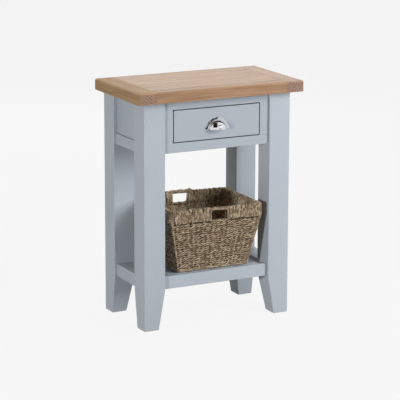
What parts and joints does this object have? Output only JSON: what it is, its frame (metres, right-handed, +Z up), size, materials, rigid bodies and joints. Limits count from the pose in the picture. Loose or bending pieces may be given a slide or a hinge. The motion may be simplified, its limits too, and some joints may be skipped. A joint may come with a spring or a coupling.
{
  "type": "hall table",
  "caption": "Small tall hall table: oak top, painted tapered legs, a drawer with a cup pull, a slatted low shelf and a loose woven basket.",
  "frame": {"origin": "on the floor, under the middle of the object's bounding box", "axes": "+X to the right, +Y to the back, +Z up; the drawer faces -Y"},
  "size_m": [0.6, 0.34, 0.79],
  "materials": {
    "oak_top": "oiled oak, soft satin",
    "painted_wood": "light blue-grey satin paint",
    "raw_wood": "planed, unfinished",
    "chrome": "polished",
    "steel": "zinc plated",
    "seagrass": "woven natural seagrass"
  },
  "bodies": {
    "table": {"top_left_end_board": "oak_top", "top_right_end_board": "oak_top", "top_front_board": "oak_top", "top_back_board": "oak_top", "top_centre_panel": "oak_top", "front_left_leg": "painted_wood", "back_left_leg": "painted_wood", "front_right_leg": "painted_wood", "back_right_leg": "painted_wood", "front_top_rail": "painted_wood", "front_bottom_rail": "painted_wood", "front_left_stile": "painted_wood", "front_right_stile": "painted_wood", "left_lower_rail": "painted_wood", "left_side_panel": "painted_wood", "right_lower_rail": "painted_wood", "right_side_panel": "painted_wood", "back_lower_rail": "painted_wood", "back_panel": "painted_wood", "left_drawer_runner": "raw_wood", "left_drawer_guide": "raw_wood", "left_drawer_stop": "raw_wood", "left_kicker": "raw_wood", "right_drawer_runner": "raw_wood", "right_drawer_guide": "raw_wood", "right_drawer_stop": "raw_wood", "right_kicker": "raw_wood", "left_front_top_screw": "steel", "left_back_top_screw": "steel", "right_front_top_screw": "steel", "right_back_top_screw": "steel", "shelf_front_rail": "painted_wood", "shelf_back_rail": "painted_wood", "shelf_left_rail": "painted_wood", "shelf_right_rail": "painted_wood", "shelf_slat_1": "painted_wood", "shelf_slat_2": "painted_wood", "shelf_slat_3": "painted_wood", "shelf_slat_4": "painted_wood", "shelf_left_edge_slat": "painted_wood", "shelf_right_edge_slat": "painted_wood", "shelf_front_cleat": "painted_wood", "shelf_back_cleat": "painted_wood"},
    "drawer": {"drawer_front": "painted_wood", "drawer_left_side": "raw_wood", "drawer_right_side": "raw_wood", "drawer_bottom": "raw_wood", "drawer_back": "raw_wood", "cup_pull": "chrome", "left_pull_screw": "steel", "right_pull_screw": "steel"},
    "basket": {"basket_body": "seagrass", "basket_rim_band": "seagrass", "basket_rim_hoop": "steel", "basket_front_handle_cord": "seagrass", "basket_back_handle_cord": "seagrass"}
  },
  "joints": [
    {"name": "drawer_slide", "type": "slide", "parent": "table", "child": "drawer", "axis": [0, -1, 0], "range_m": [0, 0.19]},
    {"name": "basket_slide", "type": "slide", "parent": "table", "child": "basket", "axis": [0, -1, 0], "range_m": [0, 0.11]}
  ]
}
